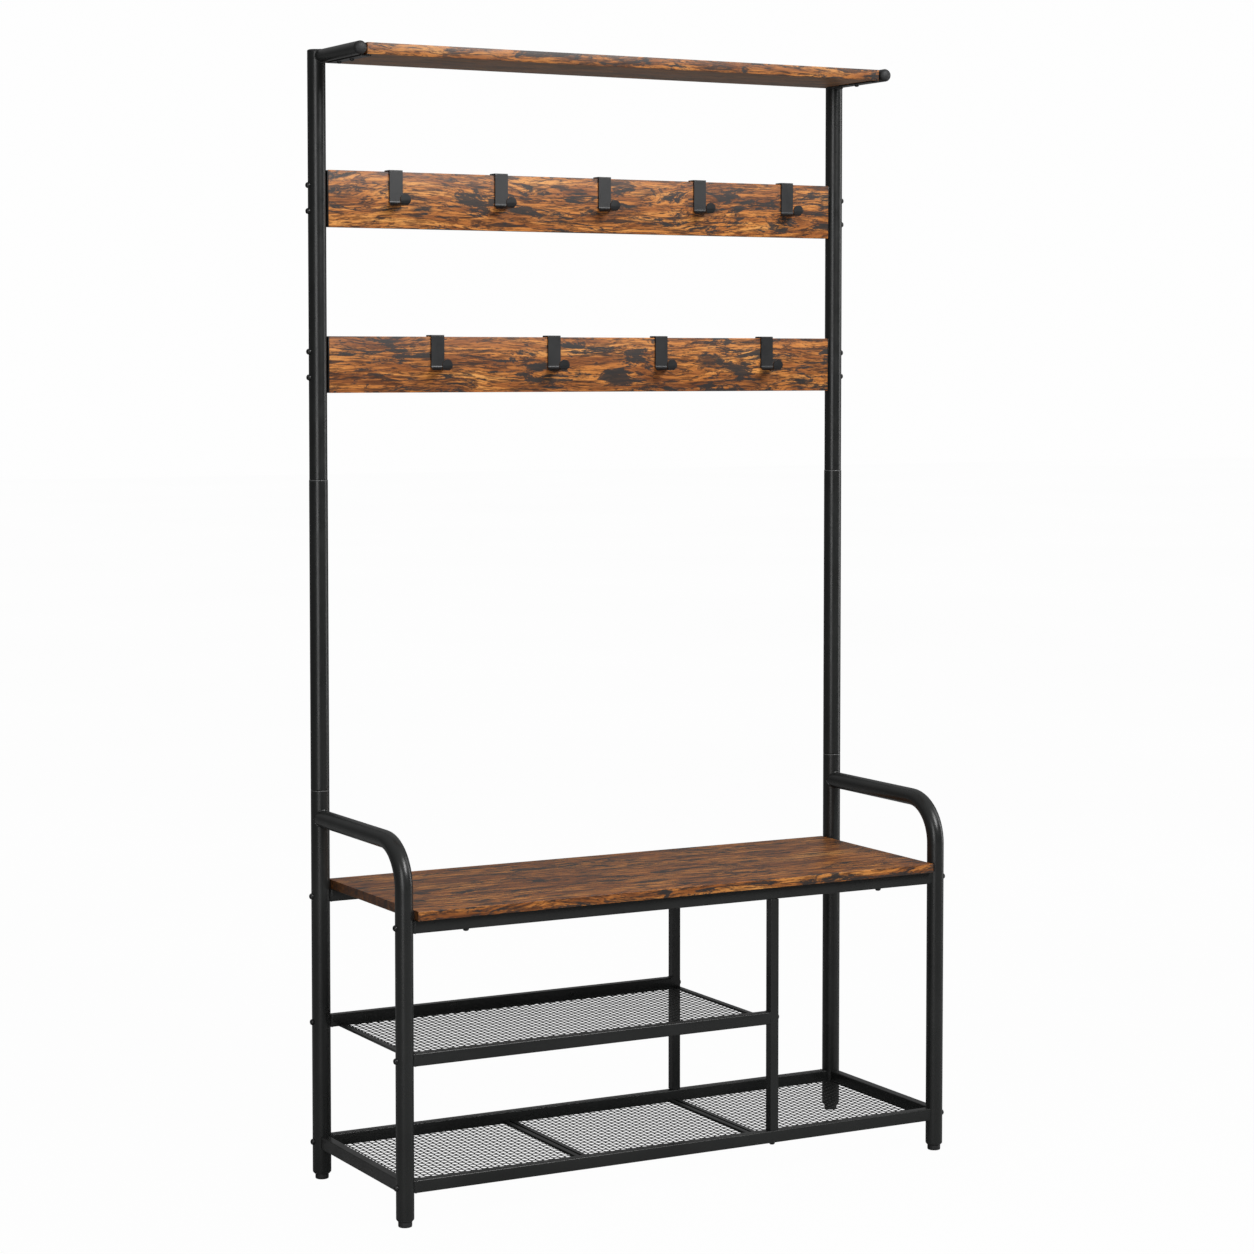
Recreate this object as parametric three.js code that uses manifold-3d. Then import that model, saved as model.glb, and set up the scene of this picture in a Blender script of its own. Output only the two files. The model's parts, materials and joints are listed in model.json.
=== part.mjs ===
// Hall tree with a bench, two hook boards, a top shelf and two mesh shoe shelves.
// Millimetres, +Z up, origin on the floor under the middle of the bounding box.
import * as THREE from "three";
import { mergeVertices } from "three/addons/utils/BufferGeometryUtils.js";
import Module from "manifold-3d";

const wasm = await Module();
wasm.setup();

// ---- driving dimensions ----
const POST_X = 486; // half the spacing of the posts
const REAR_Y = 162.5; // axis of the rear posts
const FRONT_Y = REAR_Y - 322; // axis of the front legs
const POST_R = 15;
const UPPER_POST_R = 14.5;
const LEG_R = 14;
const ARM_R = 10.5;
const ARM_X = 482.5; // half the spacing of the top shelf's arms
const WALL = 1.5;
const GAP = 0.3; // air between neighbouring pieces

const TUBE_FOOT_Z = 13; // open lower end of every post and leg
const LOWER_JOINT_Z = 632;
const UPPER_JOINT_Z = 1130;
const POST_TOP_Z = 1808;
const CAP_HEIGHT = 4;
const SPIGOT_LENGTH = 45;

const ARMREST_Z = 586;
const ARMREST_BEND_R = 70;

const RAIL_WIDTH = 15;
const RAIL_HEIGHT = 20;
const RAIL_WALL = 1.2;
const LOWER_RAIL_Z = 51; // underside of the rails of each level
const MIDDLE_RAIL_Z = 246;
const SEAT_RAIL_Z = 450;
const UPRIGHT_X = 168.5;
const UPRIGHT_SIZE = 15;
const MIDDLE_BAR_X = [-454, UPRIGHT_X];
const LOWER_BAR_X = [-151.5, 163.5];
const MIDDLE_BAR_WIDTH = 10;
const LOWER_BAR_WIDTH = 20;
const BAR_HEIGHT = 4;
const BAR_LIFT = 0.5; // bar underside above the rail underside
const MESH_LIFT = 0.5;
const MESH_THICK = 1.6;

const SEAT_TOP_Z = 485.5;
const SEAT_THICK = 15;
const SEAT_HALF = 470.3;
const SEAT_FRONT_Y = REAR_Y - 340;
const SEAT_REAR_Y = REAR_Y + 7;

const SHELF_TOP_Z = 1810;
const SHELF_THICK = 18;
const SHELF_HALF = 470.5;
const SHELF_FRONT_Y = REAR_Y - 165;
const SHELF_REAR_Y = REAR_Y + 3;
const BRACKET_WIDTH = 17; // plates under the arms that carry the top shelf
const ARM_Z = 1801.3;
const ARM_END_Y = REAR_Y - 163;

const BOARD_HALF = 469.7;
const BOARD_HEIGHT = 90.5;
const BOARD_FRONT_Y = REAR_Y - 8.5;
const BOARD_THICK = 15;
const BOARD_BOTTOM_Z = { upper: 1532, lower: 1268 };

const HOOK_X = {
  upper: [-353, -164, 28, 211, 384.5],
  lower: [-280, -67, 136.5, 344.5],
};
const HOOK_WIDTH = 23;
const HOOK_THICK = 2.5;
const HOOK_DROP = 57.5;
const HOOK_REACH = 39.5;
const HOOK_BEND = 8; // outside radius of the bends at the bottom
const HOOK_BACK = 26; // how far the strip reaches down behind the board
const HOOK_NECK_HALF = 6.5; // half the width of the arm between strip and disc
const HOOK_DISC_R = 9.2;

const BOLT_R = 2.5;
const BOLT_HEAD_R = 4.9;
const BOLT_HEAD_HEIGHT = 4.5;
const BOLT_OFFSET = 20.5; // above and below the middle of a hook board

const FOOT_PAD_R = 10.8;
const FOOT_PAD_HEIGHT = 8.7;
const FOOT_STEM_R = 4;

const SIDES = [["left", -1], ["right", 1]];
const ROUND = 36; // facets round a tube
const BOLT_ROUND = 16; // facets round a bolt

// ---- materials ----
const steel = () =>
  new THREE.MeshStandardMaterial({ color: 0x2d2f2e, roughness: 0.5, metalness: 0.35 });
const plastic = () =>
  new THREE.MeshStandardMaterial({ color: 0x1b1b1c, roughness: 0.6, metalness: 0 });
const wood = () =>
  new THREE.MeshStandardMaterial({ color: 0xa86c3c, roughness: 0.55, metalness: 0 });
const mesh = () =>
  new THREE.MeshStandardMaterial({ color: 0x3a3c3b, roughness: 0.55, metalness: 0.4 });

const root = new THREE.Group();
root.name = "hall_tree";

// ---- solids ----
function solidOf(geometry) {
  geometry.deleteAttribute("normal");
  geometry.deleteAttribute("uv");
  const merged = mergeVertices(geometry, 1e-4);
  return new wasm.Manifold(
    new wasm.Mesh({
      numProp: 3,
      vertProperties: new Float32Array(merged.attributes.position.array),
      triVerts: new Uint32Array(merged.index.array),
    }),
  );
}

function geometryOf(solid) {
  const made = solid.getMesh();
  const geometry = new THREE.BufferGeometry();
  geometry.setAttribute("position", new THREE.BufferAttribute(made.vertProperties, 3));
  geometry.setIndex(new THREE.BufferAttribute(made.triVerts, 1));
  const flat = geometry.toNonIndexed();
  flat.computeVertexNormals();
  return flat;
}

function add(name, solid, material) {
  const made = new THREE.Mesh(geometryOf(solid), material);
  made.name = name;
  root.add(made);
}

// A profile of [radius, z] points turned about +Z; a closed ring or one that ends on the axis.
function turned(profile, x = 0, y = 0, segments = ROUND) {
  const points = profile.map(([r, z]) => new THREE.Vector2(r, z));
  const geometry = new THREE.LatheGeometry(points, segments);
  geometry.rotateX(Math.PI / 2);
  geometry.translate(x, y, 0);
  return solidOf(geometry);
}

function rod(radius, z0, z1, x, y) {
  return turned([[0, z0], [radius, z0], [radius, z1], [0, z1]], x, y);
}

function pipe(outer, inner, z0, z1, x, y) {
  return turned([[inner, z0], [outer, z0], [outer, z1], [inner, z1], [inner, z0]], x, y);
}

function block(x0, x1, y0, y1, z0, z1) {
  const geometry = new THREE.BoxGeometry(x1 - x0, y1 - y0, z1 - z0);
  geometry.translate((x0 + x1) / 2, (y0 + y1) / 2, (z0 + z1) / 2);
  return solidOf(geometry);
}

function roundedRectangle(width, height, radius) {
  const w = width / 2;
  const h = height / 2;
  const shape = new THREE.Shape();
  shape.moveTo(-w + radius, -h);
  shape.lineTo(w - radius, -h);
  shape.absarc(w - radius, -h + radius, radius, -Math.PI / 2, 0);
  shape.lineTo(w, h - radius);
  shape.absarc(w - radius, h - radius, radius, 0, Math.PI / 2);
  shape.lineTo(-w + radius, h);
  shape.absarc(-w + radius, h - radius, radius, Math.PI / 2, Math.PI);
  shape.lineTo(-w, -h + radius);
  shape.absarc(-w + radius, -h + radius, radius, Math.PI, 1.5 * Math.PI);
  return shape;
}

// An extrusion of a shape drawn in X and Y, from z = 0 to length.
function extruded(shape, length, curveSegments = 2) {
  const options = { depth: length, bevelEnabled: false, curveSegments };
  return new THREE.ExtrudeGeometry(shape, options);
}

// Rectangular tube along X, from x0 to x1, its underside at z.
function railX(x0, x1, y, z) {
  const outer = roundedRectangle(RAIL_HEIGHT, RAIL_WIDTH, 2);
  outer.holes.push(
    roundedRectangle(RAIL_HEIGHT - 2 * RAIL_WALL, RAIL_WIDTH - 2 * RAIL_WALL, 1),
  );
  const geometry = extruded(outer, x1 - x0);
  geometry.rotateY(Math.PI / 2);
  geometry.translate(x0, y, z + RAIL_HEIGHT / 2);
  return solidOf(geometry);
}

// Rectangular tube along Y, from y0 to y1, its underside at z.
function railY(x, y0, y1, z) {
  const outer = roundedRectangle(RAIL_WIDTH, RAIL_HEIGHT, 1.5);
  outer.holes.push(
    roundedRectangle(RAIL_WIDTH - 2 * RAIL_WALL, RAIL_HEIGHT - 2 * RAIL_WALL, 0.6),
  );
  const geometry = extruded(outer, y1 - y0);
  geometry.rotateX(Math.PI / 2);
  geometry.translate(x, y1, z + RAIL_HEIGHT / 2);
  return solidOf(geometry);
}

// A board along X with softened long edges.
function boardX(half, y0, y1, z0, z1) {
  const geometry = extruded(roundedRectangle(z1 - z0, y1 - y0, 0.8), 2 * half);
  geometry.rotateY(Math.PI / 2);
  geometry.translate(-half, (y0 + y1) / 2, (z0 + z1) / 2);
  return solidOf(geometry);
}

// The space of the four posts and legs, grown by the gap, for cutting what meets them.
const postSpace = SIDES.flatMap(([, s]) => [
  rod(POST_R + GAP, 0, UPPER_JOINT_Z, s * POST_X, REAR_Y),
  rod(LEG_R + GAP, 0, ARMREST_Z - ARMREST_BEND_R, s * POST_X, FRONT_Y),
]);

function clearOfPosts(solid) {
  return postSpace.reduce((rest, post) => rest.subtract(post), solid);
}

// ---- bolts that hold the hook boards, through the upper posts ----
const BOLTS_Z = Object.values(BOARD_BOTTOM_Z).flatMap((bottom) => {
  const middle = bottom + BOARD_HEIGHT / 2;
  return [middle - BOLT_OFFSET, middle + BOLT_OFFSET];
});

// A turned profile laid outwards along X on one side of the hall tree, its z = 0 end at x.
function laidOutwards(profile, s, x, z) {
  return turned(profile, 0, 0, BOLT_ROUND).rotate([0, s * 90, 0]).translate([s * x, REAR_Y, z]);
}

function boltHole(s, z) {
  const radius = BOLT_R + GAP + 0.1;
  return laidOutwards([[0, 0], [radius, 0], [radius, 50], [0, 50]], s, POST_X - 25, z);
}

// A dome-headed bolt from the board bracket outwards.
function boardBolt(s, z) {
  const start = BOARD_HALF + 2 * GAP;
  const head = POST_X + UPPER_POST_R + GAP - start;
  const profile = [
    [0, 0],
    [BOLT_R, 0],
    [BOLT_R, head],
    [BOLT_HEAD_R, head],
    [BOLT_HEAD_R, head + 0.3 * BOLT_HEAD_HEIGHT],
    [BOLT_HEAD_R * 0.8, head + 0.75 * BOLT_HEAD_HEIGHT],
    [BOLT_HEAD_R * 0.45, head + BOLT_HEAD_HEIGHT],
    [0, head + BOLT_HEAD_HEIGHT],
  ];
  return laidOutwards(profile, s, start, z);
}

// ---- rear posts, in three plugged sections ----
const spigotR = POST_R - WALL - GAP;

function postSection(radius, z0, z1, x) {
  const bore = spigotR - WALL;
  const inner = radius - WALL;
  return turned(
    [
      [bore, z0 - SPIGOT_LENGTH],
      [spigotR, z0 - SPIGOT_LENGTH],
      [spigotR, z0],
      [radius, z0],
      [radius, z1],
      [inner, z1],
      [inner, z0 + 4],
      [bore, z0 + 4],
      [bore, z0 - SPIGOT_LENGTH],
    ],
    x,
    REAR_Y,
  );
}

for (const [side, s] of SIDES) {
  const x = s * POST_X;
  const lower = pipe(POST_R, POST_R - WALL, TUBE_FOOT_Z, LOWER_JOINT_Z - GAP, x, REAR_Y);
  add(`post_lower_${side}`, lower, steel());
  const middle = postSection(POST_R, LOWER_JOINT_Z, UPPER_JOINT_Z - GAP, x);
  add(`post_middle_${side}`, middle, steel());
  const upper = postSection(UPPER_POST_R, UPPER_JOINT_Z, POST_TOP_Z, x);
  const drilled = BOLTS_Z.reduce((rest, z) => rest.subtract(boltHole(s, z)), upper);
  add(`post_upper_${side}`, drilled, steel());
  const plugR = UPPER_POST_R - WALL - GAP;
  const top = POST_TOP_Z + CAP_HEIGHT;
  const cap = turned(
    [
      [0, POST_TOP_Z - 15],
      [plugR, POST_TOP_Z - 15],
      [plugR, POST_TOP_Z + GAP],
      [UPPER_POST_R, POST_TOP_Z + GAP],
      [UPPER_POST_R, top - 2],
      [UPPER_POST_R - 0.8, top - 0.6],
      [UPPER_POST_R - 2.5, top],
      [0, top],
    ],
    x,
    REAR_Y,
  );
  add(`post_cap_${side}`, cap, plastic());
}

// ---- armrests: one bent tube from the rear post to the front foot ----
class BentPath extends THREE.Curve {
  constructor(stations) {
    super();
    this.stations = stations;
  }
  getSpacedPoints() {
    return this.stations.map((station) => station.point.clone());
  }
  getTangentAt(u, target = new THREE.Vector3()) {
    const index = Math.round(u * (this.stations.length - 1));
    return target.copy(this.stations[index].tangent);
  }
}

function armrestPath(x, startY, endZ) {
  const bendY = FRONT_Y + ARMREST_BEND_R;
  const bendZ = ARMREST_Z - ARMREST_BEND_R;
  const steps = 14;
  const stations = [
    { point: new THREE.Vector3(x, startY, ARMREST_Z), tangent: new THREE.Vector3(0, -1, 0) },
  ];
  for (let i = 0; i <= steps; i += 1) {
    const angle = (i / steps) * (Math.PI / 2);
    const y = bendY - ARMREST_BEND_R * Math.sin(angle);
    const z = bendZ + ARMREST_BEND_R * Math.cos(angle);
    stations.push({
      point: new THREE.Vector3(x, y, z),
      tangent: new THREE.Vector3(0, -Math.cos(angle), -Math.sin(angle)),
    });
  }
  stations.push({
    point: new THREE.Vector3(x, FRONT_Y, endZ),
    tangent: new THREE.Vector3(0, 0, -1),
  });
  return new BentPath(stations);
}

function circle(radius) {
  const shape = new THREE.Shape();
  const points = [];
  for (let i = 0; i < 36; i += 1) {
    const angle = (i / 36) * 2 * Math.PI;
    points.push(new THREE.Vector2(radius * Math.cos(angle), radius * Math.sin(angle)));
  }
  shape.setFromPoints(points);
  return shape;
}

function swept(radius, path) {
  const options = { steps: path.stations.length - 1, extrudePath: path };
  return solidOf(new THREE.ExtrudeGeometry(circle(radius), options));
}

for (const [side, s] of SIDES) {
  const x = s * POST_X;
  const outside = swept(LEG_R, armrestPath(x, REAR_Y, TUBE_FOOT_Z));
  const inside = swept(LEG_R - WALL, armrestPath(x, REAR_Y + 1, TUBE_FOOT_Z - 1));
  const post = rod(POST_R + GAP, ARMREST_Z - 40, ARMREST_Z + 40, x, REAR_Y);
  add(`armrest_leg_${side}`, outside.subtract(inside).subtract(post), steel());
}

// ---- levelling feet in plastic inserts ----
const FEET = SIDES.flatMap(([side, s]) => [
  { name: `rear_${side}`, x: s * POST_X, y: REAR_Y, tubeR: POST_R },
  { name: `front_${side}`, x: s * POST_X, y: FRONT_Y, tubeR: LEG_R },
]);

for (const foot of FEET) {
  const plugR = foot.tubeR - WALL - GAP;
  const boreR = FOOT_STEM_R + GAP;
  const insert = turned(
    [
      [boreR, FOOT_PAD_HEIGHT + GAP],
      [foot.tubeR - 2.4, FOOT_PAD_HEIGHT + GAP],
      [foot.tubeR - 0.2, TUBE_FOOT_Z - 1.4],
      [foot.tubeR - 0.2, TUBE_FOOT_Z - GAP],
      [plugR, TUBE_FOOT_Z - GAP],
      [plugR, TUBE_FOOT_Z + 25],
      [boreR, TUBE_FOOT_Z + 25],
      [boreR, FOOT_PAD_HEIGHT + GAP],
    ],
    foot.x,
    foot.y,
  );
  add(`foot_insert_${foot.name}`, insert, plastic());
  const pad = turned(
    [
      [0, 0],
      [FOOT_PAD_R - 1.6, 0],
      [FOOT_PAD_R - 0.4, 0.7],
      [FOOT_PAD_R, 2],
      [FOOT_PAD_R, FOOT_PAD_HEIGHT - 0.6],
      [FOOT_PAD_R - 0.6, FOOT_PAD_HEIGHT],
      [FOOT_STEM_R, FOOT_PAD_HEIGHT],
      [FOOT_STEM_R, TUBE_FOOT_Z + 22],
      [0, TUBE_FOOT_Z + 22],
    ],
    foot.x,
    foot.y,
  );
  add(`levelling_foot_${foot.name}`, pad, plastic());
}

// ---- seat ----
const seat = boardX(SEAT_HALF, SEAT_FRONT_Y, SEAT_REAR_Y, SEAT_TOP_Z - SEAT_THICK, SEAT_TOP_Z);
add("seat_board", seat, wood());

const ROWS = [["front", FRONT_Y], ["rear", REAR_Y]];
for (const [row, y] of ROWS) {
  const seatRail = clearOfPosts(railX(-POST_X + 8, POST_X - 8, y, SEAT_RAIL_Z));
  add(`seat_rail_${row}`, seatRail, steel());
  const lowerRail = clearOfPosts(railX(-POST_X + 8, POST_X - 8, y, LOWER_RAIL_Z));
  add(`lower_shelf_rail_${row}`, lowerRail, steel());
  const innerEnd = UPRIGHT_X - UPRIGHT_SIZE / 2 - GAP;
  const middleRail = clearOfPosts(railX(-POST_X + 8, innerEnd, y, MIDDLE_RAIL_Z));
  add(`middle_shelf_rail_${row}`, middleRail, steel());
  const size = UPRIGHT_SIZE / 2;
  const bore = size - RAIL_WALL;
  const z0 = LOWER_RAIL_Z + RAIL_HEIGHT + GAP;
  const z1 = SEAT_RAIL_Z - GAP;
  const upright = block(UPRIGHT_X - size, UPRIGHT_X + size, y - size, y + size, z0, z1).subtract(
    block(UPRIGHT_X - bore, UPRIGHT_X + bore, y - bore, y + bore, z0 - 1, z1 + 1),
  );
  add(`upright_${row}`, upright, steel());
}

// ---- shelves below the seat ----
const INNER_FRONT_Y = FRONT_Y + RAIL_WIDTH / 2 + GAP;
const INNER_REAR_Y = REAR_Y - RAIL_WIDTH / 2 - GAP;

for (const [side, s] of SIDES) {
  const x = s * POST_X;
  const endRail = clearOfPosts(railY(x, FRONT_Y + 8, REAR_Y - 8, LOWER_RAIL_Z));
  add(`lower_shelf_end_${side}`, endRail, steel());
}

// Flat bar along Y between the front and rear rails of one level.
function crossBar(x, width, railZ) {
  const z = railZ + BAR_LIFT;
  const half = width / 2;
  return block(x - half, x + half, INNER_FRONT_Y, INNER_REAR_Y, z, z + BAR_HEIGHT);
}

MIDDLE_BAR_X.forEach((x, i) => {
  add(`middle_shelf_bar_${i + 1}`, crossBar(x, MIDDLE_BAR_WIDTH, MIDDLE_RAIL_Z), steel());
});

LOWER_BAR_X.forEach((x, i) => {
  add(`lower_shelf_bar_${i + 1}`, crossBar(x, LOWER_BAR_WIDTH, LOWER_RAIL_Z), steel());
});

function meshPanel(x0, x1, railZ) {
  const z = railZ + MESH_LIFT;
  return clearOfPosts(block(x0, x1, INNER_FRONT_Y, INNER_REAR_Y, z, z + MESH_THICK));
}

const middleInset = MIDDLE_BAR_WIDTH / 2 + GAP;
const middlePanel = meshPanel(
  MIDDLE_BAR_X[0] + middleInset,
  MIDDLE_BAR_X[1] - middleInset,
  MIDDLE_RAIL_Z,
);
add("middle_shelf_mesh", middlePanel, mesh());

const lowerInset = LOWER_BAR_WIDTH / 2 + GAP;
const endX = POST_X - RAIL_WIDTH / 2 - GAP;
const lowerEdges = [
  [-endX, LOWER_BAR_X[0] - lowerInset],
  [LOWER_BAR_X[0] + lowerInset, LOWER_BAR_X[1] - lowerInset],
  [LOWER_BAR_X[1] + lowerInset, endX],
];
lowerEdges.forEach(([x0, x1], i) => {
  add(`lower_shelf_mesh_${i + 1}`, meshPanel(x0, x1, LOWER_RAIL_Z), mesh());
});

// ---- top shelf on two round arms ----
const topShelf = boardX(
  SHELF_HALF,
  SHELF_FRONT_Y,
  SHELF_REAR_Y,
  SHELF_TOP_Z - SHELF_THICK,
  SHELF_TOP_Z,
);
add("top_shelf", topShelf, wood());

// A turned profile laid along -Y, its z = 0 end at y.
function laidForward(profile, x, y, z) {
  return turned(profile).rotate([90, 0, 0]).translate([x, y, z]);
}

for (const [side, s] of SIDES) {
  const x = s * ARM_X;
  const length = REAR_Y - ARM_END_Y;
  const bore = ARM_R - WALL;
  const ring = [[bore, 0], [ARM_R, 0], [ARM_R, length], [bore, length], [bore, 0]];
  const tube = laidForward(ring, x, REAR_Y, ARM_Z);
  const post = rod(UPPER_POST_R + GAP, ARM_Z - 30, ARM_Z + 30, s * POST_X, REAR_Y);
  add(`shelf_arm_${side}`, tube.subtract(post), steel());
  const plug = bore - GAP;
  const cap = laidForward(
    [
      [0, -14],
      [plug, -14],
      [plug, GAP],
      [ARM_R, GAP],
      [ARM_R, 2.5],
      [ARM_R - 0.7, 4.5],
      [ARM_R - 2.4, 6.2],
      [ARM_R - 5.2, 7.4],
      [0, 8],
    ],
    x,
    ARM_END_Y,
    ARM_Z,
  );
  add(`arm_cap_${side}`, cap, plastic());
  const plateTop = SHELF_TOP_Z - SHELF_THICK - GAP;
  const outerEdge = ARM_X - 6;
  const xs = [s * (outerEdge - BRACKET_WIDTH), s * outerEdge].sort((a, b) => a - b);
  const plate = block(xs[0], xs[1], ARM_END_Y + 8, REAR_Y - 18, plateTop - 2, plateTop);
  add(`shelf_bracket_${side}`, plate, steel());
}

// ---- hook boards ----
for (const level of ["upper", "lower"]) {
  const z0 = BOARD_BOTTOM_Z[level];
  const z1 = z0 + BOARD_HEIGHT;
  const rearY = BOARD_FRONT_Y + BOARD_THICK;
  const board = boardX(BOARD_HALF, BOARD_FRONT_Y, rearY, z0, z1);
  add(`hook_board_${level}`, board, wood());
  for (const [side, s] of SIDES) {
    const xs = [s * (BOARD_HALF + GAP), s * (POST_X - UPPER_POST_R - GAP)].sort((a, b) => a - b);
    const plate = block(xs[0], xs[1], BOARD_FRONT_Y, rearY, z0 + 0.5, z1 - 0.5);
    const bolts = BOLTS_Z.filter((z) => z > z0 && z < z1).map((z) => boardBolt(s, z));
    const bracket = bolts.reduce((rest, bolt) => rest.add(bolt), plate);
    add(`board_bracket_${level}_${side}`, bracket, steel());
  }
}

// ---- hooks: one bent strip each, hung over a board's top edge, with a round front end ----
const HOOK_TOP = GAP + HOOK_THICK; // above the board's top edge
const HOOK_BOTTOM = HOOK_TOP - HOOK_DROP;
const HOOK_LIP = 2 * HOOK_DISC_R - 0.8; // height of the disc above the bottom
const HOOK_TIP_Y = -GAP - HOOK_REACH;

// Points of the strip's side view in y (forward is negative) and z, the board's front top edge at 0.
function hookOutline() {
  const front = -GAP;
  const back = BOARD_THICK + GAP;
  const t = HOOK_THICK;
  const top = HOOK_TOP;
  const bottom = HOOK_BOTTOM;
  const tipY = HOOK_TIP_Y;
  const innerR = HOOK_BEND - t;
  const shape = new THREE.Shape();
  shape.moveTo(back, top - HOOK_BACK);
  shape.lineTo(back + t, top - HOOK_BACK);
  shape.lineTo(back + t, top - 1.5);
  shape.absarc(back + t - 1.5, top - 1.5, 1.5, 0, Math.PI / 2);
  shape.lineTo(front - t + 1.5, top);
  shape.absarc(front - t + 1.5, top - 1.5, 1.5, Math.PI / 2, Math.PI);
  shape.lineTo(front - t, bottom + HOOK_BEND);
  shape.absarc(front - HOOK_BEND, bottom + HOOK_BEND, innerR, 0, -Math.PI / 2, true);
  shape.lineTo(tipY + HOOK_BEND, bottom + t);
  shape.absarc(tipY + HOOK_BEND, bottom + HOOK_BEND, innerR, -Math.PI / 2, -Math.PI, true);
  shape.lineTo(tipY + t, bottom + HOOK_LIP);
  shape.lineTo(tipY, bottom + HOOK_LIP);
  shape.lineTo(tipY, bottom + HOOK_BEND);
  shape.absarc(tipY + HOOK_BEND, bottom + HOOK_BEND, HOOK_BEND, Math.PI, 1.5 * Math.PI);
  shape.lineTo(front - HOOK_BEND, bottom);
  shape.absarc(front - HOOK_BEND, bottom + HOOK_BEND, HOOK_BEND, -Math.PI / 2, 0);
  shape.lineTo(front, GAP);
  shape.lineTo(back, GAP);
  shape.lineTo(back, top - HOOK_BACK);
  return shape;
}

// The plan of the strip and its arm: full width at the board, necked towards the disc.
function hookPlan() {
  const wide = HOOK_WIDTH / 2 + 1;
  const shoulderY = -5;
  const neckY = -15;
  const shape = new THREE.Shape();
  shape.moveTo(wide, 40);
  shape.lineTo(-wide, 40);
  shape.lineTo(-wide, shoulderY);
  shape.lineTo(-HOOK_NECK_HALF, neckY);
  shape.lineTo(-HOOK_NECK_HALF, HOOK_TIP_Y - 1);
  shape.lineTo(HOOK_NECK_HALF, HOOK_TIP_Y - 1);
  shape.lineTo(HOOK_NECK_HALF, neckY);
  shape.lineTo(wide, shoulderY);
  return shape;
}

function hookSolid(x, boardTop) {
  const strip = extruded(hookOutline(), HOOK_WIDTH, 5);
  strip.rotateX(Math.PI / 2);
  strip.rotateZ(Math.PI / 2);
  strip.translate(-HOOK_WIDTH / 2, 0, 0);
  const plan = extruded(hookPlan(), 90);
  plan.translate(0, 0, HOOK_BOTTOM - 10);
  const discCentre = HOOK_BOTTOM + HOOK_LIP - HOOK_DISC_R;
  const aboveNeck = block(-20, 20, HOOK_TIP_Y - 2, HOOK_TIP_Y + 12, HOOK_BOTTOM + 3, 20);
  const disc = laidForward(
    [[0, 0], [HOOK_DISC_R, 0], [HOOK_DISC_R, 12], [0, 12]],
    0,
    HOOK_TIP_Y + 11,
    discCentre,
  );
  const allowed = solidOf(plan).subtract(aboveNeck).add(disc);
  return solidOf(strip).intersect(allowed).translate([x, BOARD_FRONT_Y, boardTop]);
}

for (const level of ["upper", "lower"]) {
  HOOK_X[level].forEach((x, i) => {
    const boardTop = BOARD_BOTTOM_Z[level] + BOARD_HEIGHT;
    add(`hook_${level}_${i + 1}`, hookSolid(x, boardTop), steel());
  });
}

export default root;
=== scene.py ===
# Looks of the hall tree: finished metal, wood, plastic and mesh round the CAD frame. Metres, +Z up.
import json
import math

import bmesh
import bpy
from mathutils import Matrix, Vector

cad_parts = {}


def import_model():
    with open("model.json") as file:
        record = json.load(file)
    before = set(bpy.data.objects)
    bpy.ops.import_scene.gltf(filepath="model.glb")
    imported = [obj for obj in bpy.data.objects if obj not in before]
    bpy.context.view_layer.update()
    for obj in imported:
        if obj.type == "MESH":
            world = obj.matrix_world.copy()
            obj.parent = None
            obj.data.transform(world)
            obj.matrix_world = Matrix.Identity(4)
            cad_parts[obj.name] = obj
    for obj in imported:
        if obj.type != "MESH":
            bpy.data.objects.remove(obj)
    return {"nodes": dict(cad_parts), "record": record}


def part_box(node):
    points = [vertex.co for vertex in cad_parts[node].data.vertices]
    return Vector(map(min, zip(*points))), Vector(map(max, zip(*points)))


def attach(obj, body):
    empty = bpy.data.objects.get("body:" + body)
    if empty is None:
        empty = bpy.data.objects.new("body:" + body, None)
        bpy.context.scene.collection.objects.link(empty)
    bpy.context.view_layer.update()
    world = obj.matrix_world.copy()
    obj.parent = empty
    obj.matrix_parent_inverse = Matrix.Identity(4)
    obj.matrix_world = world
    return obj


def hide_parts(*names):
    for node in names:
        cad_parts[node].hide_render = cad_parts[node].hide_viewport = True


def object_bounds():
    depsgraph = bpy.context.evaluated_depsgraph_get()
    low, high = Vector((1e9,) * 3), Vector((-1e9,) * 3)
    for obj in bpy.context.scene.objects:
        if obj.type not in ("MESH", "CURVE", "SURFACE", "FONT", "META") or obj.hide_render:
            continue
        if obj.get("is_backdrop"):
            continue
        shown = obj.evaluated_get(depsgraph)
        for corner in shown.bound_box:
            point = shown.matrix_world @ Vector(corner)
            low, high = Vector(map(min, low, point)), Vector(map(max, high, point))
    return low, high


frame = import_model()
cad_low, cad_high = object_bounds()

MM = 0.001
SMOOTH_ANGLE = math.radians(35)
SIDES = {"left": -1, "right": 1}
ROWS = ("front", "rear")


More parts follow.
